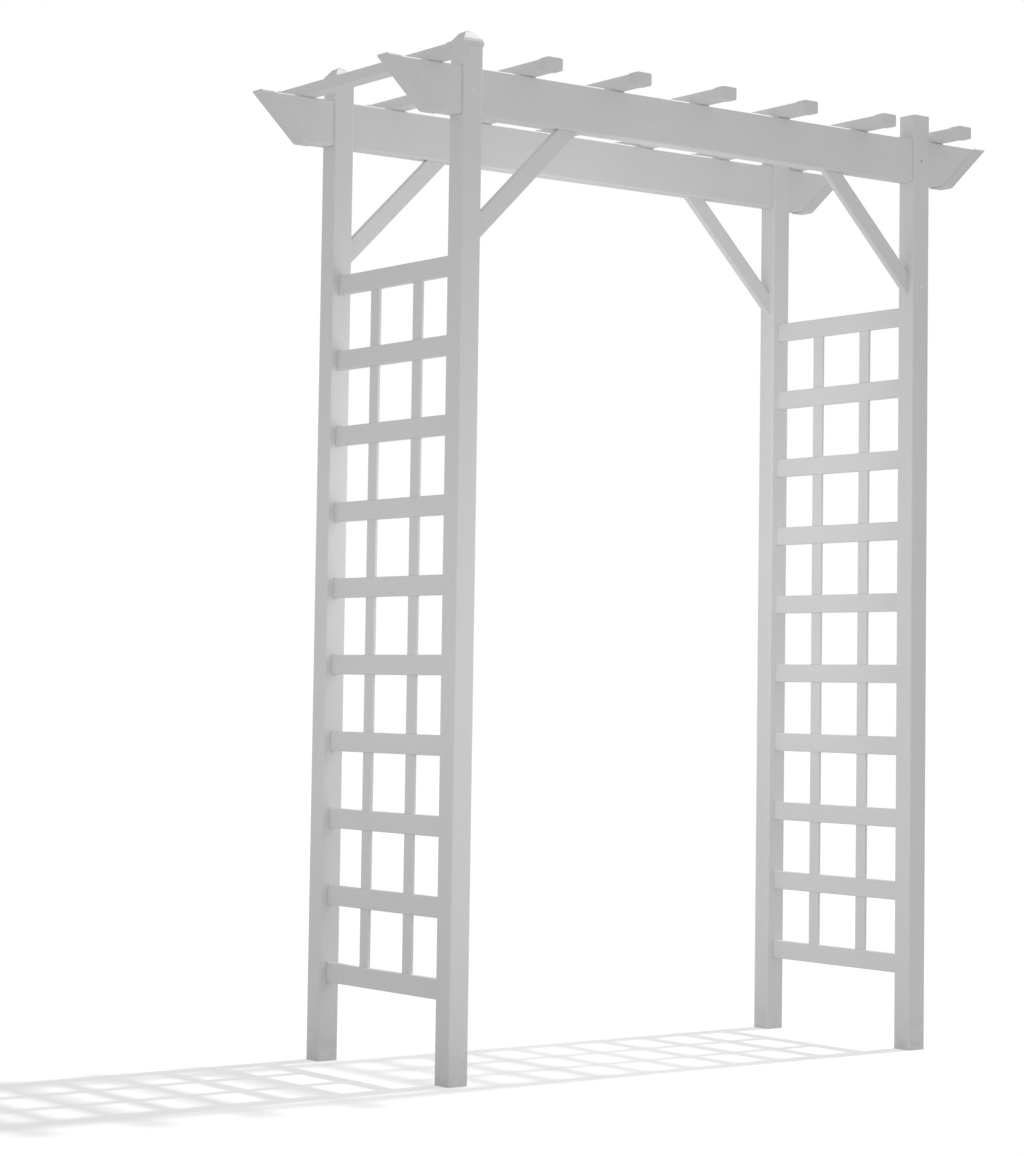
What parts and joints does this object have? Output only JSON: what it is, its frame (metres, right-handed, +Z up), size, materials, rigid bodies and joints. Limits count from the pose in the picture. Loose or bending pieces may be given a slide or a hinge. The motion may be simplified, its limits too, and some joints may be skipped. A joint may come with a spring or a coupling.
{
  "type": "garden trellis arch",
  "caption": "Free-standing garden arch with square posts, trellis end panels of rails and slats, long beams with slanted ends, knee braces, and rafters across the top.",
  "frame": {"origin": "on the ground, in the middle of the footprint", "axes": "+X along the beams to the right, +Y from front to back, +Z up"},
  "size_m": [1.7858, 0.74, 2.284],
  "materials": {
    "posts": "satin",
    "beams": "satin",
    "braces": "satin",
    "rafters": "satin",
    "rails": "satin",
    "slats": "satin",
    "caps": "satin",
    "screws": "satin"
  },
  "bodies": {
    "root": {"post_front_left": "posts", "post_front_right": "posts", "post_back_left": "posts", "post_back_right": "posts", "post_cap_front_left": "caps", "post_cap_back_left": "caps", "post_cap_back_right": "caps", "beam_front": "beams", "beam_back": "beams", "beam_cap_front_left": "caps", "beam_cap_front_right": "caps", "beam_cap_back_left": "caps", "beam_cap_back_right": "caps", "brace_front_left": "braces", "brace_front_right": "braces", "brace_back_left": "braces", "brace_back_right": "braces", "rafter_1": "rafters", "rafter_2": "rafters", "rafter_3": "rafters", "rafter_4": "rafters", "rafter_5": "rafters", "rafter_6": "rafters", "rafter_7": "rafters", "rafter_caps_front": "caps", "rafter_caps_back": "caps", "rail_left_1": "rails", "rail_left_2": "rails", "rail_left_3": "rails", "rail_left_4": "rails", "rail_left_5": "rails", "rail_left_6": "rails", "rail_left_7": "rails", "rail_left_8": "rails", "rail_left_9": "rails", "rail_left_10": "rails", "rail_right_1": "rails", "rail_right_2": "rails", "rail_right_3": "rails", "rail_right_4": "rails", "rail_right_5": "rails", "rail_right_6": "rails", "rail_right_7": "rails", "rail_right_8": "rails", "rail_right_9": "rails", "rail_right_10": "rails", "slat_left_front": "slats", "slat_left_back": "slats", "slat_right_front": "slats", "slat_right_back": "slats", "panel_screws": "screws", "beam_screws": "screws", "brace_screws": "screws", "rafter_screws": "screws"}
  },
  "joints": []
}
